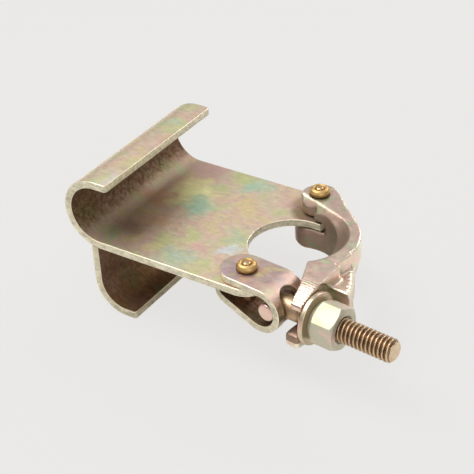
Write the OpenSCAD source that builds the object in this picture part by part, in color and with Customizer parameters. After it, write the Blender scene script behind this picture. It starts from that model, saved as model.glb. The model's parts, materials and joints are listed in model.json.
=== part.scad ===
// Board retaining coupler: a sheet-steel plate with an upper and a lower board hook,
// and a forged cap that clamps the plate on a scaffold tube.
// The origin is the centre of the tube at the middle of the plate's thickness.
// +Z runs along the tube, +X points to the bolt end and the hooks are on the -X side.

/* [Tube] */
// Outer diameter of the scaffold tube
tube_d = 48.3; // [40:0.1:60]
// Gap between the tube and each saddle when the clamp is closed
tube_gap = 0.35; // [0.1:0.05:1]

/* [Plate] */
// Thickness of the plate
plate_t = 4.5; // [3.5:0.1:6]
// Width of the plate and of its hooks
plate_w = 103; // [96:1:140]
// Corner radius at the free edges of the hooks
corner_r = 2; // [1:0.5:6]
// Radius of the plate's arm round the link's rivet
link_arm_r = 14; // [12:0.5:14]
// Radius of the plate's arm round the cap's rivet
cap_arm_r = 12.5; // [11:0.5:14]
// How far the cap's arm reaches along the tube, past the middle, along X
cap_toe = 4.5; // [1:0.5:5]

/* [Upper hook] */
// Distance from the tube to the lip, which is the widest board held on top
upper_reach = 63; // [45:1:90]
// Radius inside the rolled edge
upper_roll_r = 17.5; // [12:0.5:30]
// Flat length of the lip after the roll
upper_lip = 9; // [4:0.5:20]

/* [Lower hook] */
// Distance from the tube to the lip, which is the widest board held below
lower_reach = 51; // [40:1:80]
// Thickness of the lower hook's sheet
lower_t = 4.5; // [3.5:0.1:6]
// Radius inside the bend
lower_bend_r = 15.5; // [8:0.5:25]
// Clear height between the plate and the lip
lower_depth = 38; // [30:1:60]
// Flat length of the lip after the bend
lower_lip = 7; // [4:0.5:20]
// Size of the weld beads between the lower hook and the plate
weld_leg = 4; // [2:0.5:6]
// Distance from each end of the joint to the bead
weld_inset = 7; // [3:0.5:20]

/* [Rivets] */
// Diameter of the rivet shanks, which are the hinge pins
rivet_d = 9; // [7:0.5:10]
// Radial running gap round the rivets
rivet_gap = 0.08; // [0.05:0.01:0.1]
// Diameter of the peened end
peen_d = 5; // [4:0.5:6]
// Height of the peened end above its washer
peen_h = 1; // [0.5:0.1:2]
// Diameter of the rivet washers and heads
rivet_head_d = 12; // [11:0.5:16]
// Thickness of the rivet washers and heads
rivet_head_t = 3.5; // [2:0.1:5]
// Distance of the link's rivet from the tube's axis, along Y
link_pin_y = 37.5; // [36:0.5:39]
// Distance of the cap's rivet from the tube's axis, along Y
cap_pin_y = 39; // [37:0.5:40]
// Distance of the link's rivet behind the tube's axis, along X
link_pin_back = 5; // [3:0.5:6]
// Distance of the cap's rivet behind the tube's axis, along X
cap_pin_back = 4; // [3:0.5:6]

/* [Link] */
// Thickness of the folded strap
strap_t = 4; // [3:0.1:5]
// Width of the folded strap
strap_w = 25.4; // [22:0.2:27]
// Distance from the rivet to the centre of the fold
fold_x = 17; // [15:0.5:20]
// Angle of the link and its bolt from the X axis
link_yaw = 5.5; // [0:0.5:8]
// Gap between the plate and the leaves of the strap
leaf_gap = 0.3; // [0.2:0.1:1]
// How far the upper leaf reaches behind the rivet
upper_leaf_end = 15.5; // [12:0.5:18]
// How far the lower leaf reaches behind the rivet
lower_leaf_end = 18.5; // [14:0.5:20]

/* [Bolt] */
// Outer diameter of the bolt's thread
bolt_d = 13.4; // [11:0.1:14.5]
// Length of the bolt from the middle of its head to its end
bolt_len = 74; // [68:1:95]
// Diameter of the round cross head
head_d = 10.5; // [9:0.5:15]
// Distance of the bolt's axis below the middle of the plate
bolt_drop = 7; // [6.5:0.5:8]
// Side gap round the bolt in the strap and the fork
bolt_gap = 0.6; // [0.4:0.1:1.2]
// Gap between the cross head and the inside of the fold
head_gap = 0.15; // [0.1:0.05:0.5]

/* [Nut] */
// Width of the nut across its flats
nut_af = 23; // [20:0.5:26]
// Thickness of the nut's hexagon
nut_t = 14; // [10:0.2:16]
// Thickness of the round collar that bears on the washer
collar_t = 2.4; // [1:0.1:3]
// Angle of the nut about the bolt
nut_turn = -3; // [-30:1:30]
// Radial gap between the nut and the bolt
nut_gap = 0.08; // [0.05:0.01:0.1]
// Diameter of the washer under the nut
washer_d = 30; // [26:0.5:32]
// Thickness of the washer
washer_t = 3; // [2:0.1:4]
// Radial gap between the washer and the bolt
washer_gap = 0.3; // [0.2:0.05:0.6]

/* [Cap] */
// Angle by which the cap stands open from the closed clamp
cap_open = 1.5; // [0:0.25:3]
// Height of the cap above the middle of the plate
cap_up = 12.5; // [10:0.5:15]
// Depth of the cap below the middle of the plate
cap_down = 17.5; // [12:0.5:20]
// Radius of the upper ear round its rivet
ear_r = 11; // [10:0.5:12.5]
// Radius of the heavier lower ear
lower_ear_r = 15; // [12:0.5:16]
// Gap between each ear and the plate
ear_gap = 1; // [0.3:0.1:2]
// Wall of the saddle at its sides
cap_wall = 7; // [5:0.5:10]
// Extra thickness of the wall at the crown
crown_bulge = 8.5; // [4:0.5:12]
// Amount by which the cap's outside narrows towards its lower rim
draft = 5; // [2:0.5:7]
// Widening of the saddle at its upper rim
flare = 2; // [1:0.25:4]
// Distance from the link's rivet to the face that the washer presses on
seat_r = 43.4; // [41:0.2:46]
// Thickness of the fork along the bolt
fork_t = 10; // [7:0.5:10]
// Height of the fork above and below the bolt's axis
fork_h = 16; // [14:0.5:18]
// Length of the upper prong past the bolt's axis
prong_upper = 9; // [7:0.5:12]
// Length of the lower prong past the bolt's axis
prong_lower = 12; // [8:0.5:14]
// Reach of the side web past the seat
web_out = 11; // [4:0.5:14]
// Rest gap between the washer and the fork
seat_gap = 0.6; // [0.4:0.1:1]

/* [Hidden] */
$fn = 96;
eps = 0.01;
far = 300;

saddle_r = tube_d / 2 + tube_gap;
plate_top = plate_t / 2;

link_pin = [-link_pin_back, -link_pin_y];
cap_pin = [-cap_pin_back, cap_pin_y];
shoulder_x = -tube_d / 2 - 10;
toe_point = [cap_toe, sqrt(pow(saddle_r - 1, 2) - cap_toe * cap_toe)];
bearing_d = rivet_d + 2 * rivet_gap;

// Upper hook: axis of the roll and edge of the lip
upper_lip_x = -tube_d / 2 - upper_reach;
upper_roll_x = upper_lip_x - upper_lip;
upper_roll_z = plate_top + upper_roll_r;
upper_outer_r = upper_roll_r + plate_t;

// Lower hook: axis of the bend and the wall that hangs from the plate
lower_lip_x = -tube_d / 2 - lower_reach;
lower_bend_x = lower_lip_x - lower_lip;
lower_bend_z = -plate_top - lower_depth + lower_bend_r;
lower_outer_r = lower_bend_r + lower_t;
root_gap = 0.05;

// Link: the lower leaf is the tangent from the fold up to the plate's underside
bolt_z = -bolt_drop;
strap_top = plate_top + leaf_gap + strap_t;
fold_r = strap_top - bolt_z;
fold_in = fold_r - strap_t;
leaf_dx = fold_x + lower_leaf_end;
leaf_dz = -plate_top - leaf_gap - bolt_z;
leaf_slope = atan2(leaf_dz, leaf_dx) + asin(fold_in / norm([leaf_dx, leaf_dz]));
leaf_drop = fold_in / cos(leaf_slope) - fold_x * tan(leaf_slope);
leaf_len = fold_x + max(upper_leaf_end, lower_leaf_end) + 10;
tangent_inset = 0.005;
slot_w = bolt_d + 2 * bolt_gap;
slot_x = fold_x + fold_in - 3.2;
slot_low = bolt_z - fold_in + 0.6;
slot_mid = bolt_z + slot_w / 2;
fold_sweep = norm([fold_x + fold_r, strap_w / 2]) + leaf_gap;

// Bolt, washer and nut, as distances from the link's rivet along the bolt
head_x = fold_x + fold_in - head_gap - head_d / 2;
washer_x = seat_r + seat_gap;
nut_x = washer_x + washer_t;
end_chamfer = 1.2;
head_len = strap_w - 1;

// Cap: the outside is a circle set towards the crown, and the fork hangs lower than the ears
ear_slot = plate_t + 2 * ear_gap;
ear_slot_r = max(cap_arm_r, norm(toe_point - cap_pin)) + 1;
band = [crown_bulge, -1.5];
band_r = saddle_r + cap_wall;
flare_at = [7, -1];
flare_turn = 158;
saddle_end = -40;
rim_chamfer = 1.5;
prong_slot = bolt_d + 2 * bolt_gap;
fork_x = seat_r - fork_t;
upper_fork_x = fork_x + 2.2;
washer_room = washer_d / 2 + 3.5;
leg_top = fork_h + bolt_z + 1.25;
prong_curve_r = 35;
prong_root = 12;
leg_over = 0.4;
web_top = plate_top;
web_bottom = bolt_z - fork_h / 2;
closing_shift = [2.2, 1.4];

// Inner side of the leg, in the link's frame
leg_inside = [[24, 24], [28.5, 14]];
// Free edge of the side web: distance past its reach, and distance from the bolt
web_edge = [[2.5, 8], [2, 14], [-0.7, 21], [-3.5, 27], [-7, 32], [-12, 41], [-20, 41]];

module at(point) {
    translate([point[0], point[1], 0]) children();
}

// Turns its children about a vertical axis through a point
module turn_at(point, angle) {
    at(point) rotate([0, 0, angle]) at(-point) children();
}

// Places its children in the link's own frame: origin at the rivet, +X along the bolt
module in_link() {
    at(link_pin) rotate([0, 0, -link_yaw]) children();
}

// Stands an outline drawn as (x, z) on the XZ plane, over a width along Y
module along_y(width) {
    rotate([90, 0, 0]) linear_extrude(width, center = true) children();
}

// Lays a solid made along +Z on the bolt's axis, a distance from the rivet
module on_bolt(distance) {
    in_link() translate([distance, 0, bolt_z]) rotate([0, 90, 0]) children();
}

// Two circles joined by their outer tangents
module tapered_bar(p1, r1, p2, r2) {
    span = p2 - p1;
    heading = atan2(span[1], span[0]);
    lean = acos((r1 - r2) / norm(span));
    side1 = [cos(heading + lean), sin(heading + lean)];
    side2 = [cos(heading - lean), sin(heading - lean)];
    translate(p1) circle(r1);
    translate(p2) circle(r2);
    polygon([p1 + r1 * side1, p2 + r2 * side1, p2 + r2 * side2, p1 + r1 * side2]);
}

module ring(outer, inner) {
    difference() {
        circle(outer);
        circle(inner);
    }
}

// Cutter for the two corners of a lip whose free edge is at x, on one side of z = 0
module lip_corners(x, side) {
    for (end = [-1, 1])
        translate([x, end * plate_w / 2, 0])
            scale([1, end, side])
                difference() {
                    translate([-corner_r, -corner_r, upper_roll_r])
                        cube([corner_r + 1, corner_r + 1, far]);
                    translate([-corner_r, -corner_r, 0]) cylinder(r = corner_r, h = far * 2);
                }
}

module upper_profile() {
    translate([upper_roll_x, upper_roll_z]) {
        difference() {
            ring(upper_outer_r, upper_roll_r);
            translate([0, -far / 2]) square(far);
        }
        translate([0, upper_roll_r]) square([upper_lip, plate_t]);
    }
}

// The plate in plan: its arms start at the shoulder and end in a half round about each rivet
module plate_outline() {
    edge_y = plate_w / 2;
    difference() {
        union() {
            translate([upper_roll_x, -edge_y]) square([shoulder_x - upper_roll_x, plate_w]);
            polygon([[shoulder_x, -edge_y], link_pin - [0, link_arm_r], link_pin,
                     cap_pin, cap_pin + [0, cap_arm_r], [shoulder_x, edge_y]]);
            translate(link_pin) circle(link_arm_r);
            translate(cap_pin) circle(cap_arm_r);
            polygon([cap_pin, [cap_pin[0] - 3, saddle_r - 4], toe_point,
                     cap_pin + [cap_arm_r - 0.5, 0]]);
        }
        circle(saddle_r);
    }
}

module board_plate() {
    color([0.72, 0.70, 0.58])
    difference() {
        union() {
            linear_extrude(plate_t, center = true) plate_outline();
            along_y(plate_w) upper_profile();
        }
        at(link_pin) cylinder(d = bearing_d, h = far, center = true);
        at(cap_pin) cylinder(d = bearing_d, h = far, center = true);
        lip_corners(upper_lip_x, 1);
    }
}

module lower_profile() {
    translate([lower_bend_x, lower_bend_z]) {
        intersection() {
            ring(lower_outer_r, lower_bend_r);
            translate([-far, -far]) square(far);
        }
        translate([-lower_outer_r, 0]) square([lower_t, -lower_bend_z]);
        translate([0, -lower_outer_r]) square([lower_lip, lower_t]);
    }
}

// The space taken by the plate and its roll, grown by a gap, with the roll filled in
module plate_body(gap) {
    translate([upper_roll_x, upper_roll_z]) circle(upper_outer_r + gap);
    translate([upper_roll_x, -plate_top - gap]) square([far, plate_t + 2 * gap]);
}

module lower_hook() {
    color([0.70, 0.68, 0.55])
    difference() {
        along_y(plate_w) difference() {
            lower_profile();
            plate_body(root_gap);
        }
        lip_corners(lower_lip_x, -1);
    }
}

// Fillet welds in the two corners where the lower hook meets the plate
module weld_beads() {
    wall_x = lower_bend_x - lower_outer_r;
    color([0.62, 0.58, 0.42])
    along_y(plate_w - 2 * weld_inset) for (face = [[wall_x, -1], [wall_x + lower_t, 1]])
        difference() {
            translate([face[0], -plate_top]) circle(weld_leg);
            translate([face[1] > 0 ? face[0] - far : face[0], -far / 2]) square([far, far]);
            plate_body(0);
            translate([face[0] - far / 2, upper_roll_z]) square([far, far]);
        }
}

// Point at a distance along the lower leaf and at a radius from the fold's axis
function on_leaf(along, r) = [-along * cos(leaf_slope) - r * sin(leaf_slope),
                              along * sin(leaf_slope) - r * cos(leaf_slope)];

// Everything inside the strap's surface at a radius from the fold's axis, seen from the side
module inside_strap(r) {
    circle(r);
    polygon([[0, r], [-leaf_len, r], on_leaf(leaf_len, r - tangent_inset),
             on_leaf(0, r - tangent_inset)]);
}

module strap_profile() {
    translate([fold_x, bolt_z]) difference() {
        inside_strap(fold_r);
        inside_strap(fold_in);
    }
}

// Plan of one leaf: a strip whose round end reaches a distance behind the rivet
module leaf_plan(reach) {
    translate([strap_w / 2 - reach, 0]) {
        circle(strap_w / 2);
        translate([0, -strap_w / 2]) square([far, strap_w]);
    }
}

module link_strap() {
    color([0.74, 0.68, 0.60])
    in_link() difference() {
        along_y(strap_w) strap_profile();
        linear_extrude(far) difference() {
            square(far, center = true);
            leaf_plan(upper_leaf_end);
        }
        translate([0, 0, -far]) linear_extrude(far) difference() {
            square(far, center = true);
            leaf_plan(lower_leaf_end);
        }
        cylinder(d = bearing_d, h = far, center = true);
        // Slot for the bolt: straight beside the shank, with a round end above it
        translate([fold_x, -slot_w / 2, slot_low]) cube([far, slot_w, slot_mid - slot_low]);
        translate([slot_x + slot_w / 2, 0, slot_mid - eps]) {
            cylinder(d = slot_w, h = far);
            translate([0, -slot_w / 2, 0]) cube([far, slot_w, far]);
        }
    }
}

module t_bolt() {
    color([0.62, 0.42, 0.28])
    union() {
        on_bolt(head_x) {
            cylinder(d = bolt_d, h = bolt_len - end_chamfer);
            translate([0, 0, bolt_len - end_chamfer])
                cylinder(d1 = bolt_d, d2 = bolt_d - 2 * end_chamfer, h = end_chamfer);
        }
        in_link() translate([head_x, 0, bolt_z])
            along_y(head_len) circle(d = head_d);
    }
}

module nut_washer() {
    color([0.66, 0.60, 0.46])
    on_bolt(washer_x) difference() {
        cylinder(d = washer_d, h = washer_t);
        translate([0, 0, -1]) cylinder(d = bolt_d + 2 * washer_gap, h = washer_t + 2);
    }
}

// Hexagon nut on a round collar, with the corners of both faces turned down
module hex_nut() {
    corner_d = nut_af / cos(30);
    face_d = nut_af - 0.6;
    turned = (corner_d - face_d) * tan(30) / 2;
    color([0.70, 0.75, 0.60])
    on_bolt(nut_x) rotate([0, 0, nut_turn]) difference() {
        union() {
            cylinder(d = face_d - 2, h = collar_t + eps);
            translate([0, 0, collar_t]) intersection() {
                cylinder(d = corner_d, h = nut_t, $fn = 6);
                rotate_extrude() polygon([
                    [0, 0], [face_d / 2, 0], [corner_d / 2, turned],
                    [corner_d / 2, nut_t - turned], [face_d / 2, nut_t], [0, nut_t]]);
            }
        }
        translate([0, 0, -1])
            cylinder(d = bolt_d + 2 * nut_gap, h = collar_t + nut_t + 2);
    }
}

// Rivet from its lower head up to the peened end above the washer
module rivet(bottom, seat) {
    translate([0, 0, bottom]) cylinder(d = rivet_d, h = seat - bottom);
    translate([0, 0, seat - eps]) cylinder(d = peen_d, h = rivet_head_t + peen_h + eps);
}

module rivet_washer(seat) {
    translate([0, 0, seat]) difference() {
        cylinder(d = rivet_head_d, h = rivet_head_t);
        translate([0, 0, -1]) cylinder(d = peen_d, h = rivet_head_t + 2);
    }
}

// The link's rivet has its head formed square to the sloping lower leaf
module link_rivet() {
    under = bolt_z - leaf_drop - strap_t / cos(leaf_slope);
    color([0.75, 0.60, 0.32])
    in_link() {
        rivet(under - 1, strap_top);
        translate([0, 0, under]) rotate([0, leaf_slope, 0])
            translate([0, 0, -rivet_head_t]) cylinder(d = rivet_head_d, h = rivet_head_t);
    }
}

module link_rivet_washer() {
    color([0.80, 0.65, 0.35]) in_link() rivet_washer(strap_top);
}

module cap_rivet() {
    color([0.75, 0.60, 0.32])
    at(cap_pin) {
        rivet(-cap_down, cap_up);
        translate([0, 0, -cap_down - rivet_head_t])
            cylinder(d = rivet_head_d, h = rivet_head_t);
    }
}

module cap_rivet_washer() {
    color([0.80, 0.65, 0.35]) at(cap_pin) rivet_washer(cap_up);
}

// Outside of the saddle and one ear in plan, for the closed clamp
module saddle_plan(outer_r) {
    difference() {
        tapered_bar(cap_pin, ear_r, band, outer_r);
        polygon([[0, 0], [-far / 40, far], [-far, far], [-far, -far],
                 far * [cos(saddle_end), sin(saddle_end)]]);
    }
    translate(cap_pin) circle(ear_r);
}

// Saddle and ears, with an outside that narrows towards the lower rim
module saddle_body() {
    linear_extrude(cap_up) saddle_plan(band_r);
    translate([0, 0, -cap_down]) {
        at(cap_pin) cylinder(r = lower_ear_r, h = cap_down - ear_slot / 2);
        linear_extrude(cap_down + eps) saddle_plan(band_r - draft);
        intersection() {
            at(band) cylinder(r1 = band_r - draft, r2 = band_r, h = cap_down);
            linear_extrude(cap_down) saddle_plan(band_r);
        }
    }
}

// The tube's bore, opened out towards the upper rim and the ear, and eased at the lower one
module saddle_bore() {
    rim_r = saddle_r + flare;
    cylinder(r = saddle_r, h = far, center = true);
    translate([flare_at[0], flare_at[1], cap_up + eps - rim_r]) {
        cylinder(r1 = 0, r2 = rim_r, h = rim_r);
        rotate([0, 0, flare_turn]) rotate([90, 0, 90]) linear_extrude(far)
            polygon([[0, 0], [tangent_inset - rim_r, rim_r], [rim_r - tangent_inset, rim_r]]);
    }
    translate([0, 0, -cap_down - eps])
        cylinder(r1 = saddle_r + rim_chamfer, r2 = saddle_r, h = rim_chamfer);
}

// Leg from the saddle to the fork, in plan, in the link's frame
module leg_plan(inner_x, reach) {
    outer_x = seat_r + leg_over;
    polygon(concat(leg_inside, [[inner_x - 1.8, 2], [inner_x, -reach], [outer_x, -reach],
                                [outer_x, leg_inside[0][1] + 2]]));
}

// Web beside the nut that stiffens the leg, in plan, in the link's frame
module web_plan() {
    polygon(concat([[seat_r - 6, web_edge[0][1]]],
                   [for (point = web_edge) [seat_r + web_out + point[0], point[1]]]));
}

// Leg seen along the bolt: x is sideways and y is up
module leg_side() {
    difference() {
        union() {
            intersection() {
                translate([prong_root, leg_top - prong_curve_r]) circle(prong_curve_r);
                translate([-prong_upper, bolt_z]) square([prong_upper + prong_root, far]);
            }
            translate([-prong_lower, bolt_z - fork_h])
                square([prong_lower + prong_root, fork_h + eps]);
            polygon([[prong_root, leg_top], [2 * prong_root + saddle_r, cap_up],
                     [2 * prong_root + saddle_r, -cap_down],
                     [prong_root, bolt_z - fork_h]]);
        }
        translate([-far, bolt_z - prong_slot / 2])
            square([far + closing_shift[1], prong_slot]);
        translate([closing_shift[1], bolt_z]) circle(d = prong_slot);
    }
}

module leg() {
    in_link() intersection() {
        rotate([90, 0, 90]) linear_extrude(far) leg_side();
        union() {
            translate([0, 0, bolt_z]) linear_extrude(far) leg_plan(upper_fork_x, prong_upper);
            translate([0, 0, bolt_z - far])
                linear_extrude(far + eps) leg_plan(fork_x, prong_lower);
        }
    }
}

// Everything above the sloping top line from the ears down to the leg
module above_cap() {
    slope_end = 2 * prong_root + saddle_r;
    in_link() rotate([90, 0, 90]) linear_extrude(far)
        polygon([[prong_root - far, leg_top], [prong_root, leg_top], [slope_end, cap_up],
                 [slope_end, far], [prong_root - far, far]]);
}

module cap() {
    color([0.70, 0.64, 0.58])
    difference() {
        union() {
            turn_at(cap_pin, cap_open) saddle_body();
            leg();
            in_link() translate([0, 0, web_bottom])
                linear_extrude(web_top - web_bottom) web_plan();
        }
        above_cap();
        turn_at(cap_pin, cap_open) saddle_bore();
        at(cap_pin) {
            cylinder(r = ear_slot_r, h = ear_slot, center = true);
            cylinder(d = bearing_d, h = far, center = true);
        }
        in_link() {
            // Room for the washer and nut outside the convex seat
            difference() {
                translate([fork_x, 0, bolt_z]) {
                    rotate([0, 90, 0]) cylinder(r = washer_room, h = far);
                    translate([0, -far, -far / 2]) cube([far, far, far]);
                }
                cylinder(r = seat_r, h = far, center = true);
            }
            // Room for the strap's fold as the link swings, and when the cap closes on a tube
            translate([0, 0, bolt_z - fold_r - leaf_gap]) {
                cylinder(r = fold_sweep, h = 2 * (fold_r + leaf_gap));
                translate([0, -strap_w, 0])
                    cube([fold_x + fold_r + closing_shift[0] + leaf_gap,
                          1.5 * strap_w + closing_shift[1], 2 * (fold_r + leaf_gap)]);
            }
        }
    }
}

board_plate();
lower_hook();
weld_beads();
cap();
link_strap();
t_bolt();
nut_washer();
hex_nut();
link_rivet();
link_rivet_washer();
cap_rivet();
cap_rivet_washer();
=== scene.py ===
import json
import math

import bmesh
import bpy
import numpy as np
from mathutils import Matrix, Vector, noise
from mathutils.geometry import intersect_line_sphere_2d, tessellate_polygon


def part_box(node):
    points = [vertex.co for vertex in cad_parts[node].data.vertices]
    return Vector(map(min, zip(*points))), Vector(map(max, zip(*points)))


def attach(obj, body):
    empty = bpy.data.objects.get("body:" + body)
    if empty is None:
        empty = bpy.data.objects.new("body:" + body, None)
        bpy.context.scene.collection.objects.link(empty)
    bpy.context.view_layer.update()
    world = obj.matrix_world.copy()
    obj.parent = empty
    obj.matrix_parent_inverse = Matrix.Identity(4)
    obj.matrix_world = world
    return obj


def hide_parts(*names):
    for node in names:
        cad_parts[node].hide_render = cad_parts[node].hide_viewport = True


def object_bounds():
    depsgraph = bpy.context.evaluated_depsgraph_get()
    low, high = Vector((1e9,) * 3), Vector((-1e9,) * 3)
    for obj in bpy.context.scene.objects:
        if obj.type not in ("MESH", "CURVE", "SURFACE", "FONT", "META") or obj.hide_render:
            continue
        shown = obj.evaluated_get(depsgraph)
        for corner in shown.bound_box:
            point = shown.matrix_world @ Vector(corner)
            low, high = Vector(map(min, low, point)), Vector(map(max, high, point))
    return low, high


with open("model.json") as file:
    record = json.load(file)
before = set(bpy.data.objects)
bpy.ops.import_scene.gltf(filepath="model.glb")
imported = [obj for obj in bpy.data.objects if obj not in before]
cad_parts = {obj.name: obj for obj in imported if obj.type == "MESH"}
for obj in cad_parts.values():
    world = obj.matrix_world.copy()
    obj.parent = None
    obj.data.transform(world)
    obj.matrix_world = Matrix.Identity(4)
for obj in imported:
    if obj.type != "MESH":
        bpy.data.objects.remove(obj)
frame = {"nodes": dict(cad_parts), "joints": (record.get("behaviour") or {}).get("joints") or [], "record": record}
cad_box = [list(corner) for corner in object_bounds()]

# Lengths in this script are in millimetres until a mesh is made.
MM = 0.001
joints = {joint["name"]: joint for joint in frame["joints"]}
mounts = {mount["name"]: mount for mount in frame["record"]["mounts"]}


def box_mm(node):
    """The two corners of a CAD node's box."""
    low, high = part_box(node)
    return low / MM, high / MM


# ---------------------------------------------------------------- sizes
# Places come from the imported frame. Most of the other values are part.scad's own.
plate_low, plate_high = box_mm("board_plate")
PLATE_T = -2 * plate_low.z
PLATE_W = plate_high.y - plate_low.y
ROLL_OUTER = (plate_high.z - plate_low.z) / 2
ROLL_X = plate_low.x + ROLL_OUTER
ROLL_Z = plate_low.z + ROLL_OUTER
# Flat run of the rolled hook's lip past the roll
UPPER_LIP = 9.0
# Corner radius of both lips
LIP_CORNER = 2.0
SADDLE_R = mounts["tube_clamp"]["dims"]["r_mm"]
# How far the plate's pointed toe beside the cap lies along X, and inside the tube's circle
CAP_TOE = 4.5
TOE_INSET = 1.0
# How far inside the cap's arm the toe's side starts
TOE_FOOT = 0.5

lower_low, lower_high = box_mm("lower_hook")
# Sheet thickness and inner bend radius of the lower hook
LOWER_T = 4.5
LOWER_BEND = 15.5

link_pin = Vector(joints["link_swing"]["pos_m"]) / MM
cap_pin = Vector(joints["cap_hinge"]["pos_m"]) / MM
bolt_axis = Vector(joints["nut_travel"]["axis"])
BOLT_Z = joints["nut_spin"]["pos_m"][2] / MM

strap_high = box_mm("link_strap")[1]
STRAP_T = 4.0
STRAP_W = 25.4
# From the link's rivet to the fold's centre and to the round end of each leaf
FOLD_X = 17.0
UPPER_LEAF_END = 15.5
LOWER_LEAF_END = 18.5
FOLD_OUTER = strap_high.z - BOLT_Z
LEAF_GAP = strap_high.z - STRAP_T - PLATE_T / 2
# Where the bolt's slot starts and ends round the fold, in degrees from its top
SLOT_FROM = 32
SLOT_TO = 141

BOLT_D = 13.4
# Room on each side of the bolt in the strap's slot
BOLT_GAP = 0.6
HEAD_D = 10.5
NUT_AF = 23.0
# Height of the nut's round collar
NUT_COLLAR = 2.4
RIVET_HEAD_H = 3.5
# The CAD's bolt is plain, so its thread is set here
THREAD_PITCH = 2.5
THREAD_DEPTH = 1.35
# The photo's nut has a corner towards the camera, which is 26 degrees on from the CAD's nut
NUT_TURN = -29.0

# Places a piece made in the link's frame: +X along the bolt, the origin at the link's rivet
link_frame = Matrix.Translation((link_pin.x, link_pin.y, 0)) @ Matrix.Rotation(
    math.atan2(bolt_axis.y, bolt_axis.x), 4, "Z")
# Places a piece made along +Z on the bolt's axis
bolt_frame = link_frame @ Matrix.Translation((0, 0, BOLT_Z)) @ Matrix.Rotation(
    math.pi / 2, 4, "Y")


# ---------------------------------------------------------------- mesh helpers
def add_piece(name, verts, faces, body, nodes, slot, material, sharp=32, **layers):
    """Makes a piece from points in millimetres. Each of the layers is a value per point.

    Edges that turn by more than sharp, in degrees, stay sharp.
    """
    mesh = bpy.data.meshes.new(name)
    mesh.from_pydata([tuple(Vector(v) * MM) for v in verts], [], faces)
    for key, values in layers.items():
        layer = mesh.attributes.new(key, "FLOAT", "POINT")
        layer.data.foreach_set("value", np.array(values, np.float32))
    finish_piece(name, mesh, body, nodes, material, sharp)


def ease(value, start, end):
    """0 at the start, 1 at the end and smooth between them."""
    share = min(1.0, max(0.0, (value - start) / (end - start)))
    return share * share * (3 - 2 * share)


def finish_piece(name, mesh, body, nodes, material, sharp=32):
    """Cleans and shades a mesh in metres, ties its object to a body and hides the CAD nodes it stands for."""
    work = bmesh.new()
    work.from_mesh(mesh)
    bmesh.ops.remove_doubles(work, verts=work.verts, dist=1e-7)
    bmesh.ops.recalc_face_normals(work, faces=work.faces)
    work.to_mesh(mesh)
    work.free()
    mesh.shade_smooth()
    mesh.set_sharp_from_angle(angle=math.radians(sharp))
    piece = bpy.data.objects.new(name, mesh)
    bpy.context.scene.collection.objects.link(piece)
    weighted = piece.modifiers.new("weighted_normals", "WEIGHTED_NORMAL")
    weighted.keep_sharp = True
    weighted.weight = 100
    mesh.materials.append(material)
    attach(piece, body)
    if nodes:
        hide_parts(*nodes)


def arc(centre, radius, start, end, steps):
    """Points on an arc from one angle to another, in degrees."""
    angles = [math.radians(start + (end - start) * i / steps) for i in range(steps + 1)]
    return [Vector((centre[0] + radius * math.cos(a), centre[1] + radius * math.sin(a)))
            for a in angles]


def fillet(points, radii, steps=6):
    """Rounds each corner of an outline by its own radius. A radius of 0 keeps it sharp."""
    rounded = []
    for i, (here, radius) in enumerate(zip(points, radii)):
        here = Vector(here)
        if radius == 0:
            rounded.append(here)
            continue
        before = Vector(points[i - 1]) - here
        after = Vector(points[(i + 1) % len(points)]) - here
        half = before.angle(after) / 2
        reach = min(radius / math.tan(half), before.length * 0.49, after.length * 0.49)
        radius = reach * math.tan(half)
        centre = here + (before.normalized() + after.normalized()).normalized() * (
            radius / math.sin(half))
        first = here + before.normalized() * reach - centre
        last = here + after.normalized() * reach - centre
        turn = first.angle_signed(last)
        for k in range(steps + 1):
            rounded.append(centre + Matrix.Rotation(-turn * k / steps, 2) @ first)
    return rounded


def stitch(rings):
    """Quads between each ring of points and the next, closed all the way round."""
    return [(low[i], low[(i + 1) % len(low)], high[(i + 1) % len(low)], high[i])
            for low, high in zip(rings, rings[1:]) for i in range(len(low))]


def revolve(profile, segments, matrix):
    """Turns (radius, height) points about +Z. Points on the axis become one vertex."""
    verts, faces, rings = [], [], []
    for radius, height in profile:
        if radius < 1e-6:
            rings.append([len(verts)])
            verts.append(matrix @ Vector((0, 0, height)))
            continue
        rings.append(list(range(len(verts), len(verts) + segments)))
        for i in range(segments):
            angle = 2 * math.pi * i / segments
            verts.append(matrix @ Vector((radius * math.cos(angle),
                                          radius * math.sin(angle), height)))
    for low, high in zip(rings, rings[1:]):
        for i in range(segments):
            j = (i + 1) % segments
            corners = [low[i % len(low)], low[j % len(low)],
                       high[j % len(high)], high[i % len(high)]]
            face = list(dict.fromkeys(corners))
            if len(face) > 2:
                faces.append(face)
    return verts, faces


def resample(points, step):
    """Adds points so that no side of a closed outline is longer than the step."""
    dense = []
    for here, there in zip(points, points[1:] + points[:1]):
        pieces = max(1, math.ceil((there - here).length / step))
        dense += [here.lerp(there, i / pieces) for i in range(pieces)]
    return dense


def drop_doubles(points):
    """Leaves out the points that lie on the one before."""
    return [p for i, p in enumerate(points) if (p - points[i - 1]).length > 1e-4]


def inset(points, distance, inside):
    """Moves a closed outline by a distance: inwards for the edge, outwards for a hole."""
    area = sum(a.cross(b) for a, b in zip(points, points[1:] + points[:1]))
    side = math.copysign(distance, area) * (1 if inside else -1)
    moved = []
    for i, here in enumerate(points):
        along = ((here - points[i - 1]).normalized()
                 + (points[(i + 1) % len(points)] - here).normalized())
        along.normalize()
        moved.append(here + Vector((-along.y, along.x)) * side)
    return moved


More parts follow.
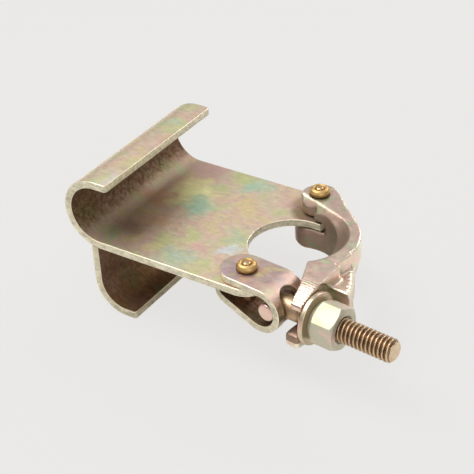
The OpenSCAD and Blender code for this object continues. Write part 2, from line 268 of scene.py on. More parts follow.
def sheet_metal(loops, thickness, edge_r, bend, cuts, hollow_shade):
    """A blank cut from sheet with rounded edges, then bent.

    loops holds the blank's outline and its holes, as (u, v) points. bend turns a point
    (u, v, height over the middle of the sheet) into its place. cuts lists the u values
    where the blank is divided so that it can bend, and it is divided every 6 mm the other
    way. hollow_shade gives the painted shade of a point, from 0 in the open to 1 deep inside
    a bend. Returns the points and faces, the rim of each point, which is 0 on the rolled
    faces and rises round the edge to 1 on the cut, and its painted shade.
    """
    work = bmesh.new()
    layer = work.verts.layers.float.new("rim")
    half = thickness / 2
    steps = 3
    rounding = [math.pi / 2 * i / steps for i in range(steps + 1)]
    stations = [(edge_r * (1 - math.sin(a)), half - edge_r * (1 - math.cos(a)),
                 i / steps) for i, a in enumerate(rounding)]
    stations += [(distance, -height, rim) for distance, height, rim in reversed(stations)]
    top, bottom, flat = [], [], []
    for index, loop in enumerate(loops):
        rings = []
        for distance, height, rim in stations:
            ring = []
            for point in inset(loop, distance, index == 0):
                vert = work.verts.new((point.x, point.y, height))
                vert[layer] = rim
                ring.append(vert)
            rings.append(ring)
        for quad in stitch(rings):
            work.faces.new(quad)
        top += rings[0]
        bottom += rings[-1]
        flat.append([v.co.to_3d() for v in rings[0]])
    for triangle in tessellate_polygon(flat):
        work.faces.new([top[i] for i in triangle])
        work.faces.new([bottom[i] for i in reversed(triangle)])
    bmesh.ops.recalc_face_normals(work, faces=work.faces)
    planes = [((cut, 0, 0), (1, 0, 0)) for cut in cuts]
    planes += [((0, cut, 0), (0, 1, 0)) for cut in range(-60, 60, 6)]
    for place, normal in planes:
        bmesh.ops.bisect_plane(work, geom=work.verts[:] + work.edges[:] + work.faces[:],
                               dist=1e-5, plane_co=place, plane_no=normal)
    gloom = [hollow_shade(*v.co) for v in work.verts]
    for vert in work.verts:
        vert.co = bend(*vert.co)
    work.verts.index_update()
    verts = [v.co.copy() for v in work.verts]
    rim = [v[layer] for v in work.verts]
    faces = [[v.index for v in f.verts] for f in work.faces]
    work.free()
    return verts, faces, rim, gloom


# ---------------------------------------------------------------- materials
def linear(red, green, blue):
    """A colour as it looks on screen, 0 to 255, as the linear value that a shader takes."""
    channels = [c / 255 for c in (red, green, blue)]
    return [c / 12.92 if c <= 0.04045 else ((c + 0.055) / 1.055) ** 2.4
            for c in channels] + [1.0]


class Shader:
    """A material's node tree, with one short call for each kind of node."""

    def __init__(self, name):
        self.material = bpy.data.materials.new(name)
        self.material.use_nodes = True
        self.tree = self.material.node_tree
        self.tree.nodes.clear()
        self.surface = self.add("ShaderNodeOutputMaterial").inputs["Surface"]
        self.bsdf = self.add("ShaderNodeBsdfPrincipled")
        self.link(self.bsdf.outputs["BSDF"], self.surface)
        self.place = self.add("ShaderNodeTexCoord").outputs["Object"]

    def add(self, kind, **settings):
        node = self.tree.nodes.new(kind)
        for key, value in settings.items():
            setattr(node, key, value)
        return node

    def link(self, source, target):
        self.tree.links.new(source, target)

    def put(self, socket, value):
        """Links a socket to another or sets its value."""
        if isinstance(value, bpy.types.NodeSocket):
            self.link(value, socket)
        else:
            socket.default_value = value

    def stretch(self, scale):
        """The place in the object, scaled: below 1 draws a pattern out along that axis."""
        node = self.add("ShaderNodeMapping")
        self.link(self.place, node.inputs["Vector"])
        node.inputs["Scale"].default_value = scale
        return node.outputs["Vector"]

    def noise(self, size, detail, rough=0.55, warp=0.0, vector=None, colour=False):
        """Noise whose largest lumps are about the size, in millimetres."""
        node = self.add("ShaderNodeTexNoise")
        self.link(vector or self.place, node.inputs["Vector"])
        node.inputs["Scale"].default_value = 1 / (size * MM)
        node.inputs["Detail"].default_value = detail
        node.inputs["Roughness"].default_value = rough
        node.inputs["Distortion"].default_value = warp
        return node.outputs["Color" if colour else "Fac"]

    def ramp(self, source, stops, curve="LINEAR"):
        """Turns a value into colours or greys, from stops of (value, colour or grey)."""
        node = self.add("ShaderNodeValToRGB")
        node.color_ramp.interpolation = curve
        elements = node.color_ramp.elements
        while len(elements) < len(stops):
            elements.new(0.5)
        for element, (place, colour) in zip(elements, stops):
            element.position = place
            element.color = colour if hasattr(colour, "__len__") else (colour,) * 3 + (1,)
        self.link(source, node.inputs["Fac"])
        return node.outputs["Color"]

    def mix(self, factor, first, second, blend="MIX"):
        node = self.add("ShaderNodeMix", data_type="RGBA", blend_type=blend)
        self.put(node.inputs["Factor"], factor)
        self.put(node.inputs[6], first)
        self.put(node.inputs[7], second)
        return node.outputs[2]

    def math(self, operation, first, second=0.0, clamp=False):
        node = self.add("ShaderNodeMath", operation=operation, use_clamp=clamp)
        self.put(node.inputs[0], first)
        self.put(node.inputs[1], second)
        return node.outputs[0]

    def near(self, centre, radius, vector):
        """1 at a point in millimetres, falling to 0 at a radius from it."""
        node = self.add("ShaderNodeVectorMath", operation="DISTANCE")
        self.link(vector, node.inputs[0])
        node.inputs[1].default_value = [c * MM for c in centre]
        away = self.math("DIVIDE", node.outputs["Value"], radius * MM)
        return self.math("SUBTRACT", 1.0, away, clamp=True)

    def attribute(self, name):
        return self.add("ShaderNodeAttribute", attribute_name=name).outputs["Fac"]

    def bump(self, height, depth, strength, normal=None):
        node = self.add("ShaderNodeBump")
        node.inputs["Strength"].default_value = strength
        node.inputs["Distance"].default_value = depth * MM
        self.link(height, node.inputs["Height"])
        if normal:
            self.link(normal, node.inputs["Normal"])
        return node.outputs["Normal"]


BEIGE = linear(216, 200, 172)
OLIVE = linear(184, 182, 138)
GREEN = linear(190, 200, 160)
YELLOW_GREEN = linear(204, 210, 146)
LIME = linear(250, 246, 180)
TEAL = linear(172, 208, 180)
PALE_BLUE = linear(222, 230, 230)
PINK = linear(224, 184, 172)
MAUVE = linear(200, 174, 176)
YELLOW = linear(226, 206, 150)
ORANGE = linear(218, 176, 134)
CREAM = linear(222, 214, 190)
BROWN = linear(134, 110, 78)
RUST = linear(150, 84, 70)
GOLD = linear(190, 156, 100)
GREY_CUT = linear(162, 156, 134)
# Tone that painted shade in hollows, and the cap's file lines, darken towards
SHADE_AND_MARK_TONE = linear(112, 90, 68)


# How far noise moves the outline of a patch, in millimetres
PATCH_DRIFT = 24.0


def passivated(name, base, tints, patches=(), rough=0.34, streak=0.05, speck=0.25,
               tint_size=18.0, blend=0.35, bump=0.02, wear_and_sheen=CREAM, cut=GREY_CUT,
               metallic=0.92):
    """Yellow-passivated zinc: a pale metal with soft rainbow patches, streaks and specks.

    The tints drift in clouds of tint_size, in mm, and blend is the base colour's share over
    them. Each of the patches lays a tint down at one place: (centre in mm, radius in mm,
    tint, strength). streak and speck say how dark the fine marks are, and bump how deep
    they are, in mm. The mesh's rim attribute turns a surface to the wear_and_sheen colour
    along an edge, which on the bolt's thread crests is a painted highlight, and to the cut
    colour on the cut itself. Its gloom attribute paints shade into hollows,
    and on the cap it also darkens file lines.
    """
    shade = Shader(name)
    fine = shade.noise(2.4, detail=6.0, rough=0.7, vector=shade.stretch((0.5, 1.0, 1.0)))
    lines = shade.noise(1.1, detail=4.0, rough=0.65, vector=shade.stretch((0.16, 1.0, 1.0)))
    dots = shade.noise(0.7, detail=4.0, rough=0.75)
    # Painted shade in hollows, and the cap's file lines, broken up by fine noise
    gloom = shade.math("MULTIPLY", shade.attribute("gloom"),
                       shade.ramp(fine, [(0.25, 0.72), (0.6, 1.0)]))
    ragged = shade.noise(1.3, detail=4.0, rough=0.7)
    rim = shade.math("MULTIPLY", shade.attribute("rim"),
                     shade.ramp(ragged, [(0.3, 0.82), (0.5, 1.0)]))

    # Rainbow clouds over the base, then the patches
    cloud = shade.noise(tint_size, detail=3.0, rough=0.5, warp=0.4,
                        vector=shade.stretch((0.8, 1.0, 1.0)))
    places = [0.28 + 0.44 * i / (len(tints) - 1) for i in range(len(tints))]
    colour = shade.ramp(cloud, list(zip(places, tints)), "EASE")
    colour = shade.mix(blend, colour, base)
    drifted = shade.add("ShaderNodeVectorMath", operation="MULTIPLY_ADD")
    shade.link(shade.noise(11.0, detail=4.0, colour=True), drifted.inputs[0])
    drifted.inputs[1].default_value = [PATCH_DRIFT * MM] * 3
    shade.link(shade.place, drifted.inputs[2])
    for centre, radius, tint, strength in patches:
        # The noise is about a half everywhere, so the drift moves a patch by half its length
        centre = [c + PATCH_DRIFT / 2 for c in centre]
        reach = shade.ramp(shade.near(centre, radius, drifted.outputs["Vector"]),
                           [(0.0, 0.0), (0.8, 1.0)], "EASE")
        colour = shade.mix(shade.math("MULTIPLY", reach, strength), colour, tint)

    # Rolling lines, specks and smudges
    specks = shade.ramp(dots, [(0.33, 1 - speck), (0.43, 1.0)])
    for marks in (shade.ramp(lines, [(0.3, 1 - streak), (0.7, 1 + streak * 0.4)]), specks,
                  shade.ramp(fine, [(0.3, 0.9), (0.7, 1.05)])):
        colour = shade.mix(1.0, colour, marks, "MULTIPLY")

    # Painted shade in hollows and the cap's dark file lines; the cut itself and the worn band beside it, which on
    # the bolt's thread crests is a painted highlight
    colour = shade.mix(gloom, colour, SHADE_AND_MARK_TONE, "MULTIPLY")
    grain = shade.mix(shade.ramp(fine, [(0.35, 0.0), (0.65, 1.0)]), cut, wear_and_sheen)
    colour = shade.mix(shade.ramp(rim, [(0.7, 0.0), (0.97, 1.0)]), colour, grain)
    bright = shade.ramp(rim, [(0.1, 0.0), (0.45, 1.0), (0.7, 1.0), (0.97, 0.0)])
    colour = shade.mix(bright, colour, wear_and_sheen)
    shade.link(colour, shade.bsdf.inputs["Base Color"])

    # Smudges, the painted-shade hollows and edges are duller
    dull = shade.ramp(fine, [(0.2, rough - 0.07), (0.8, rough + 0.1)])
    dull = shade.math("ADD", dull, shade.math("MULTIPLY", gloom, 0.22))
    dull = shade.math("ADD", dull, shade.math("MULTIPLY", rim, 0.1))
    shade.link(dull, shade.bsdf.inputs["Roughness"])
    shade.bsdf.inputs["Metallic"].default_value = metallic

    # Scratches, shallow dents and pits
    relief = shade.bump(lines, bump * 1.5, 0.3)
    relief = shade.bump(shade.noise(5.0, detail=3.0, rough=0.5), bump * 8, 0.5, relief)
    relief = shade.bump(specks, bump * 2, 0.4, relief)
    shade.link(relief, shade.bsdf.inputs["Normal"])
    return shade.material


# Patches on the plate as in the photo: centre and radius in mm, tint and strength. The last
# six are on the lip of the rolled hook.
PLATE_PATCHES = [
    ((-88, 30, 2), 14, ORANGE, 0.7), ((-84, 47, 2), 17, PINK, 0.9),
    ((-80, 16, 2), 20, LIME, 0.95), ((-68, 6, 2), 14, TEAL, 0.85),
    ((-84, 28, 2), 12, LIME, 0.5),
    ((-66, 30, 2), 10, YELLOW_GREEN, 0.5), ((-96, 4, 2), 13, ORANGE, 0.6),
    ((-50, 43, 2), 13, TEAL, 0.8), ((-60, 46, 2), 11, YELLOW_GREEN, 0.8),
    ((-44, 22, 2), 12, YELLOW, 0.6), ((-55, 22, 2), 12, PINK, 0.4),
    ((-80, -16, 2), 12, ORANGE, 0.5), ((-54, -20, 2), 9, YELLOW_GREEN, 0.6),
    ((-42, -27, 2), 10, PINK, 0.8), ((-64, -33, 2), 12, YELLOW_GREEN, 0.7),
    ((-50, -42, 2), 16, TEAL, 0.6), ((-33, -44, 2), 13, YELLOW_GREEN, 0.5),
    ((-28, -22, 2), 8, PALE_BLUE, 0.8), ((-90, -28, 2), 15, BROWN, 0.45),
    ((-30, -6, 2), 8, TEAL, 0.4), ((-20, 38, 2), 12, PINK, 0.5), ((-6, 30, 2), 7, YELLOW, 0.5),
    ((-80, 20, 41), 16, YELLOW_GREEN, 0.7), ((-85, 0, 41), 12, PINK, 0.7),
    ((-82, -22, 41), 12, YELLOW_GREEN, 0.7), ((-86, 38, 41), 12, PINK, 0.7),
    ((-84, -42, 41), 13, PALE_BLUE, 0.4), ((-86, 12, 42), 9, ORANGE, 0.5),
]
plate_zinc = passivated("plate_zinc", linear(220, 203, 174),
                        [TEAL, YELLOW_GREEN, BEIGE, PINK, YELLOW, MAUVE],
                        patches=PLATE_PATCHES, blend=0.5, tint_size=16.0, rough=0.38,
                        metallic=0.82)
hook_zinc = passivated("hook_zinc", BEIGE, [GREEN, OLIVE, ORANGE, PINK, YELLOW],
                       patches=[((-75, -12, -24), 16, RUST, 0.6),
                                ((-84, -32, -14), 12, YELLOW_GREEN, 0.6)])
strap_zinc = passivated("strap_zinc", linear(214, 192, 170),
                        [GREEN, BEIGE, PINK, MAUVE, YELLOW],
                        patches=[((-14, -42, 7), 10, MAUVE, 0.8),
                                 ((7, -36, 7), 6, ORANGE, 0.6)],
                        tint_size=11.0)
forging = passivated("forging", linear(208, 190, 174), [MAUVE, BEIGE, PINK, GREEN, CREAM],
                     tint_size=9.0, rough=0.33, streak=0.02, bump=0.03, speck=0.3)
weld_metal = passivated("weld_metal", linear(176, 160, 126), [BROWN, OLIVE, BEIGE, MAUVE],
                        tint_size=6.0, rough=0.4, streak=0.02)
bolt_metal = passivated("bolt_metal", linear(126, 98, 74),
                        [linear(104, 80, 56), linear(136, 104, 78), linear(150, 124, 88),
                         linear(150, 108, 92)],
                        tint_size=5.0, rough=0.32, streak=0.02, speck=0.25,
                        wear_and_sheen=linear(206, 178, 144), cut=linear(220, 210, 186))
head_metal = passivated("head_metal", linear(196, 172, 156), [BEIGE, PINK, MAUVE],
                        tint_size=7.0, rough=0.32, streak=0.02)
washer_metal = passivated("washer_metal", linear(168, 146, 118), [OLIVE, BEIGE, PINK],
                          tint_size=8.0, rough=0.34)
nut_zinc = passivated("nut_zinc", linear(178, 174, 156),
                      [OLIVE, linear(186, 180, 160), PINK], tint_size=8.0, rough=0.52,
                      streak=0.02, speck=0.25, blend=0.3, metallic=0.7)
rivet_gold = passivated("rivet_gold", GOLD, [linear(208, 178, 122), GOLD, linear(164, 126, 78)],
                        tint_size=4.0, rough=0.48, streak=0.02, speck=0.3)
rivet_boss = passivated("rivet_boss", linear(216, 178, 140),
                        [linear(230, 200, 160), GOLD, PINK],
                        tint_size=4.0, rough=0.3, streak=0.02, speck=0.1)


# ---------------------------------------------------------------- plate with its rolled hook
# Radius of the middle of the sheet in the roll, and the blank's u at the roll's far end
ROLL_R = ROLL_OUTER - PLATE_T / 2
ROLL_END = ROLL_X - math.pi * ROLL_R


def plate_bend(u, v, height):
    """The blank's u runs along X on the flat part, and round the roll where u < ROLL_X."""
    if u >= ROLL_X:
        return Vector((u, v, height))
    if u <= ROLL_END:
        return Vector((ROLL_X + ROLL_END - u, v, 2 * ROLL_Z - height))
    angle = -math.pi / 2 - (ROLL_X - u) / ROLL_R
    radius = ROLL_R - height
    return Vector((ROLL_X + radius * math.cos(angle), v, ROLL_Z + radius * math.sin(angle)))


def saddle_outline():
    """The plate's blank, counter-clockwise from the corner of its lip on the link's side.

    The link's arm is a circle about its rivet that runs into the saddle's circle. On the
    cap's side a straight flank joins the saddle to the arm, so the plate ends in a toe.
    """
    lip_end = ROLL_END - UPPER_LIP
    half = PLATE_W / 2
    corner = LIP_CORNER
    link_r = half + link_pin.y
    cap_r = half - cap_pin.y
    span = math.hypot(link_pin.x, link_pin.y)
    swing = math.acos((SADDLE_R ** 2 + span ** 2 - link_r ** 2) / (2 * span * SADDLE_R))
    meet = math.atan2(link_pin.y, link_pin.x) + swing
    leave = math.atan2(SADDLE_R * math.sin(meet) - link_pin.y,
                       SADDLE_R * math.cos(meet) - link_pin.x)
    toe = Vector((CAP_TOE, math.sqrt((SADDLE_R - TOE_INSET) ** 2 - CAP_TOE ** 2)))
    side = cap_pin.xy + Vector((cap_r - TOE_FOOT, 0))
    tip = max(intersect_line_sphere_2d(toe, side, (0, 0), SADDLE_R, False),
              key=lambda p: p.y if p else -1)
    root = min(intersect_line_sphere_2d(toe, side, cap_pin.xy, cap_r, False),
               key=lambda p: p.y) - cap_pin.xy
    cap_meet = math.atan2(tip.y, tip.x)
    outline = arc((lip_end + corner, -half + corner), corner, 180, 270, 6)
    outline += arc(link_pin, link_r, -90, math.degrees(leave), 40)
    outline += arc((0, 0), SADDLE_R, math.degrees(meet) + 360, math.degrees(cap_meet), 90)[1:]
    outline += arc(cap_pin, cap_r, math.degrees(math.atan2(root.y, root.x)), 90, 40)
    outline += arc((lip_end + corner, half - corner), corner, 90, 180, 6)
    return drop_doubles(outline)


def make_board_plate():
    """The plate with the tube's saddle at one end and the rolled upper hook at the other."""
    outline = resample(saddle_outline(), 4.0)
    cuts = list(np.linspace(ROLL_END, ROLL_X, 49)) + list(np.arange(ROLL_X + 4, 10, 4))

    def hollow_shade(u, v, height):
        """Painted shade under the cap's ear, and on the inside from the foot of the roll upwards."""
        under_ear = ease(math.hypot(u - cap_pin.x, v - cap_pin.y), 19, 15) * 0.8
        if height < 0:
            return under_ear
        foot = ease(u, ROLL_X + 10, ROLL_X - 10) * 0.4
        roll = ease(u, ROLL_X - 3, ROLL_X - 17) * 0.6
        return max(under_ear, foot + roll)

    verts, faces, rim, gloom = sheet_metal([outline], PLATE_T, 0.45, plate_bend, cuts, hollow_shade)
    add_piece("board_plate_sheet", verts, faces, "plate", ["board_plate"], "plate_zinc",
              plate_zinc, rim=rim, gloom=gloom)


# ---------------------------------------------------------------- lower hook and its welds
LOWER_WALL_X = lower_low.x + LOWER_T / 2
LOWER_BEND_X = lower_low.x + LOWER_T + LOWER_BEND
LOWER_BEND_Z = lower_low.z + LOWER_T + LOWER_BEND
# Radius of the middle of the sheet in the bend, and the blank's u at the bend's two ends
LOWER_R = LOWER_BEND + LOWER_T / 2
LOWER_WALL = -PLATE_T / 2 - LOWER_BEND_Z
LOWER_TURNED = LOWER_WALL + LOWER_R * math.pi / 2


def lower_bend(u, v, height):
    """u = 0 at the plate, down the wall, round the bend and along the lip."""
    if u <= LOWER_WALL:
        return Vector((LOWER_WALL_X + height, v, -PLATE_T / 2 - u))
    if u >= LOWER_TURNED:
        return Vector((LOWER_BEND_X + u - LOWER_TURNED, v, LOWER_BEND_Z - LOWER_R + height))
    radius = LOWER_R - height
    angle = math.pi + (u - LOWER_WALL) / LOWER_R
    return Vector((LOWER_BEND_X + radius * math.cos(angle), v,
                   LOWER_BEND_Z + radius * math.sin(angle)))


def make_lower_hook():
    """The J-shaped sheet under the plate, with its lip towards the saddle."""
    length = LOWER_TURNED + lower_high.x - LOWER_BEND_X
    half = PLATE_W / 2
    corner = LIP_CORNER
    outline = [Vector((0.05, -half)), Vector((length - corner, -half))]
    outline += arc((length - corner, -half + corner), corner, -90, 0, 6)
    outline += arc((length - corner, half - corner), corner, 0, 90, 6)
    outline += [Vector((0.05, half))]
    cuts = list(np.linspace(LOWER_WALL, LOWER_TURNED, 25)) + list(np.arange(4, LOWER_WALL, 5))

    def hollow_shade(u, v, height):
        """Painted shade on the inside of the hook all over, and a little on the outside."""
        return 0.9 if height > 0 else 0.15

    verts, faces, rim, gloom = sheet_metal([resample(drop_doubles(outline), 4.0)], LOWER_T,
                                           0.45, lower_bend, cuts, hollow_shade)
    add_piece("lower_hook_sheet", verts, faces, "plate", ["lower_hook"], "plate_zinc",
              hook_zinc, rim=rim, gloom=gloom)


# ---------------------------------------------------------------- link strap
# Radius of the middle of the sheet in the fold
FOLD_R = FOLD_OUTER - STRAP_T / 2


def leaf_angle():
    """Slope of the lower leaf: the tangent from the fold up to the plate's underside."""
    inner = FOLD_OUTER - STRAP_T
    across = FOLD_X + LOWER_LEAF_END
    rise = -PLATE_T / 2 - LEAF_GAP - BOLT_Z
    return math.atan2(rise, across) + math.asin(inner / math.hypot(across, rise))


def strap_bend(u, v, height):
    """u = 0 above the rivet on the upper leaf, then round the fold and back below."""
    turn = math.pi + leaf_angle()
    turned = (u - FOLD_X) / FOLD_R
    if turned <= 0:
        place = Vector((u, v, BOLT_Z + FOLD_R + height))
    else:
        radius = FOLD_R + height
        angle = math.pi / 2 - min(turned, turn)
        place = Vector((FOLD_X + radius * math.cos(angle), v,
                        BOLT_Z + radius * math.sin(angle)))
    if turned > turn:
        along = u - FOLD_X - FOLD_R * turn
        slope = leaf_angle()
        place += Vector((-math.cos(slope), 0, math.sin(slope))) * along
    return link_frame @ place


def make_link_strap():
    """The strap folded round the bolt's head, with a slot in the fold for the bolt."""
    slope = leaf_angle()
    fold_end = FOLD_X + FOLD_R * (math.pi + slope)
    lower_run = (FOLD_X + LOWER_LEAF_END - FOLD_R * math.sin(slope)) / math.cos(slope)
    last = fold_end + lower_run
    half = STRAP_W / 2
    outline = arc((half - UPPER_LEAF_END, 0), half, 90, 270, 32)
    outline += arc((last - half, 0), half, -90, 90, 32)
    slot_half = BOLT_D / 2 + BOLT_GAP
    slot_start = FOLD_X + FOLD_R * math.radians(SLOT_FROM)
    slot_end = FOLD_X + FOLD_R * math.radians(SLOT_TO)
    slot = arc((slot_start + slot_half, 0), slot_half, 90, 270, 24)
    slot += arc((slot_end - slot_half, 0), slot_half, -90, 90, 24)
    cuts = list(np.linspace(FOLD_X, fold_end, 41)) + [last - 6, last - 14]

    def hollow_shade(u, v, height):
        """Painted shade on the inside of the fold and of the lower leaf."""
        return ease(u, FOLD_X - 12, FOLD_X + 4) if height < 0 else 0.0

    verts, faces, rim, gloom = sheet_metal(
        [resample(drop_doubles(outline), 3.0), resample(drop_doubles(slot), 1.5)],
        STRAP_T, 0.5, strap_bend, cuts, hollow_shade)
    add_piece("link_strap_sheet", verts, faces, "link", ["link_strap"], "strap_zinc",
              strap_zinc, rim=rim, gloom=gloom)


# ---------------------------------------------------------------- bolt, nut and washer
def along_bolt(node):
    """How far the two ends of a CAD node are from the link's rivet, along the bolt."""
    to_link = link_frame.inverted()
    places = [(to_link @ (v.co / MM)).x for v in frame["nodes"][node].data.vertices]
    return min(places), max(places)


BOLT_START, BOLT_END = along_bolt("t_bolt")
HEAD_X = BOLT_START + HEAD_D / 2
WASHER_X, WASHER_END = along_bolt("nut_washer")
NUT_X, NUT_END = along_bolt("hex_nut")


def thread_height(turn, along):
    """Height of a rounded V thread, 0 to 1, at an angle in turns and a place on the axis."""
    ridge = abs((along / THREAD_PITCH - turn) % 1.0 - 0.5) * 2
    return ease(ridge, 0.12, 0.88)


def make_bolt_shank():
    """The bolt's shank with its thread, which fades in from plain steel inside the cap."""
    outer = BOLT_D / 2
    root = outer - THREAD_DEPTH
    shank = outer - 0.35
    thread_from = WASHER_X - 8
    run_in = 5
    tip = 1.6
    segments = 72
    places = [HEAD_X + 0.5 + 2 * i for i in range(int((thread_from - HEAD_X) / 2))]
    places += list(np.arange(thread_from, BOLT_END - 0.05, 0.17)) + [BOLT_END]
    verts, rim, gloom = [], [], []
    for x in places:
        grown = max(0.0, min(1.0, (x - thread_from) / run_in))
        tapered = outer - max(0.0, x - (BOLT_END - tip)) * 0.95
        for i in range(segments):
            height = thread_height(i / segments, x)
            radius = shank + (root + (outer - root) * height - shank) * grown
            angle = 2 * math.pi * i / segments
            radius = min(radius, tapered)
            verts.append(link_frame @ Vector((x, radius * math.cos(angle),
                                              BOLT_Z + radius * math.sin(angle))))
            # Painted highlight on the thread's crests; the plain shank is paler in its own colour
            wear_and_sheen = 0.4 * ease(height, 0.35, 1.1) * grown + 0.3 * (1 - grown)
            rim.append(max(wear_and_sheen, 0.9 if x > BOLT_END - 0.3 else 0.0))
            # Painted shade on the plain shank and in the thread's roots
            gloom.append(0.3 * (1 - grown) + 0.35 * ease(height, 0.5, 0.0) * grown)
    rings = np.arange(len(verts)).reshape(len(places), segments).tolist()
    faces = stitch(rings)
    for x, ring, shine in ((BOLT_END, rings[-1], 0.9), (places[0], rings[0], 0.0)):
        faces += [(first, second, len(verts))
                  for first, second in zip(ring, ring[1:] + ring[:1])]
        verts.append(link_frame @ Vector((x, 0, BOLT_Z)))
        rim.append(shine)
        gloom.append(0.0)
    add_piece("t_bolt_thread", verts, faces, "bolt", ["t_bolt"], "bolt_steel", bolt_metal,
              sharp=60, rim=rim, gloom=gloom)


def make_bolt_head():
    """The round bar across the bolt that lies in the strap's fold."""
    half = STRAP_W / 2 - 0.5
    lying = link_frame @ Matrix.Translation((HEAD_X, 0, BOLT_Z)) @ Matrix.Rotation(
        math.pi / 2, 4, "X")
    profile = fillet([(0, -half), (HEAD_D / 2, -half), (HEAD_D / 2, half), (0, half)],
                     [0, 1.3, 1.3, 0])
    verts, faces = revolve(profile, 64, lying)
    add_piece("t_bolt_head", verts, faces, "bolt", [], "bolt_steel", head_metal)


def make_washer():
    """The thick ring under the nut, with a little room round the bolt."""
    inner = BOLT_D / 2 + 0.3
    low, high = box_mm("nut_washer")
    outer = (high.z - low.z) / 2
    thick = WASHER_END - WASHER_X
    profile = fillet([(inner, 0), (outer, 0), (outer, thick), (inner, thick)],
                     [0.3, 0.9, 0.7, 0.4], 5)
    place = bolt_frame @ Matrix.Translation((0, 0, WASHER_X))
    verts, faces = revolve(profile + profile[:1], 96, place)
    add_piece("nut_washer_ring", verts, faces, "washer", ["nut_washer"], "washer_steel",
              washer_metal)


def hex_angles(rounding):
    """Angles round a hexagon of unit half width, closer together at its eased corners."""
    centre = (1 - rounding) / math.cos(math.pi / 6)
    edge = math.atan2(rounding / 2, centre + rounding * math.cos(math.pi / 6))
    angles = []
    for corner in range(6):
        middle = math.radians(30 + 60 * corner)
        angles += [middle + edge * k / 3 for k in range(-3, 4)]
        angles += [middle + edge + (math.pi / 3 - 2 * edge) * k / 14 for k in range(1, 14)]
    return angles, centre, edge


def hex_radius(angle, rounding, centre, edge):
    """Distance from the axis to a hexagon's side of unit half width, with eased corners."""
    from_corner = (angle % (math.pi / 3)) - math.pi / 6
    if abs(from_corner) >= edge:
        return 1 / math.cos(math.pi / 6 - abs(from_corner))
    across = centre * math.sin(from_corner)
    return centre * math.cos(from_corner) + math.sqrt(rounding ** 2 - across ** 2)


def make_nut():
    """A hexagon on a round collar, with the corners of both faces turned down at 30 degrees."""
    rounding = 0.09
    angles, centre, edge = hex_angles(rounding)
    half = NUT_AF / 2
    low, high = NUT_COLLAR, NUT_END - NUT_X
    face_r = half - 0.3
    collar = face_r - 1.0
    bore = BOLT_D / 2 + 0.02
    eased = 0.15
    sides = [half * hex_radius(a, rounding, centre, edge) for a in angles]
    turned = [max(0.0, side - face_r) * math.tan(math.radians(30)) for side in sides]
    verts, rings = [], []

    def ring(radii, heights):
        rings.append(list(range(len(verts), len(verts) + len(angles))))
        for angle, radius, height in zip(angles, radii, heights):
            spun = angle + math.radians(NUT_TURN)
            verts.append(bolt_frame @ Vector((radius * math.cos(spun), radius * math.sin(spun),
                                              NUT_X + height)))

    def level(radius, height):
        ring([radius] * len(angles), [height] * len(angles))

    def cone(quarter, height, way):
        """One of four rings over the turned corners, a height up and the given way from it."""
        trim = eased if quarter == 4 else 0
        ring([face_r + (side - face_r) * quarter / 4 - trim for side in sides],
             [height + way * t * quarter / 4 for t in turned])

    level(bore + 0.8, 0.0)
    level(collar - 0.4, 0.0)
    level(collar, 0.4)
    level(collar, low - 0.2)
    level(collar + 0.2, low)
    level(face_r, low)
    for quarter in range(1, 5):
        cone(quarter, low, 1)
    for k in range(7):
        ring(sides, [low + t + eased + (high - low - 2 * (t + eased)) * k / 6 for t in turned])
    for quarter in range(4, 0, -1):
        cone(quarter, high, -1)
    level(face_r, high)
    level(bore + 1.3, high)
    level(bore, high - 1.3)
    level(bore, 0.8)
    add_piece("hex_nut_turned", verts, stitch(rings + rings[:1]), "nut", ["hex_nut"],
              "nut_zinc", nut_zinc, sharp=24)


# ---------------------------------------------------------------- rivets
def rivet_disc(name, pin, seat, height, radius, body, node):
    """Washer under a peened end: a short drum with a domed top and a dished middle."""
    profile = fillet([(2.3, 0.0), (radius - 0.5, 0.0), (radius, 0.6),
                      (radius - 0.1, height - 1.0), (radius - 1.0, height + 0.3),
                      (3.7, height + 0.9), (2.3, height - 0.1)],
                     [0, 0.3, 0.4, 0.7, 1.0, 0.5, 0], 5)
    profile += profile[:1]
    # Painted shade at the foot outside, and in the groove round the boss
    dark = [1.0 - ease(z, 0.8, height - 0.8) if r > 3 else ease(-z, -height - 0.4, -height)
            for r, z in profile]
    segments = 72
    verts, faces = revolve(profile, segments, Matrix.Translation((pin.x, pin.y, seat)))
    add_piece(name, verts, faces, body, [node], "rivet_brassy", rivet_gold,
              gloom=np.repeat(dark, segments))


def rivet_shank(name, pin, foot, shoulder, top, head_r, head_place, body, node):
    """Rivet from its formed head up to its peened boss."""
    head_h = RIVET_HEAD_H
    profile = fillet([(0, foot), (4.5, foot), (4.5, shoulder), (2.4, shoulder),
                      (2.3, top - 0.5), (1.6, top + 0.1), (0, top + 0.1)],
                     [0, 0, 0.3, 0, 0.5, 0.6, 0], 5)
    verts, faces = revolve(profile, 64, Matrix.Translation((pin.x, pin.y, 0)))
    add_piece(name, verts, faces, body, [node], "rivet_brassy", rivet_boss)
    dome = fillet([(0, 0), (head_r * 0.55, 0), (head_r, head_h * 0.5), (head_r, head_h),
                   (0, head_h)], [0, 2.0, 0.8, 0.3, 0])
    verts, faces = revolve(dome, 72, head_place)
    add_piece(name + "_head", verts, faces, body, [], "rivet_brassy", rivet_gold)


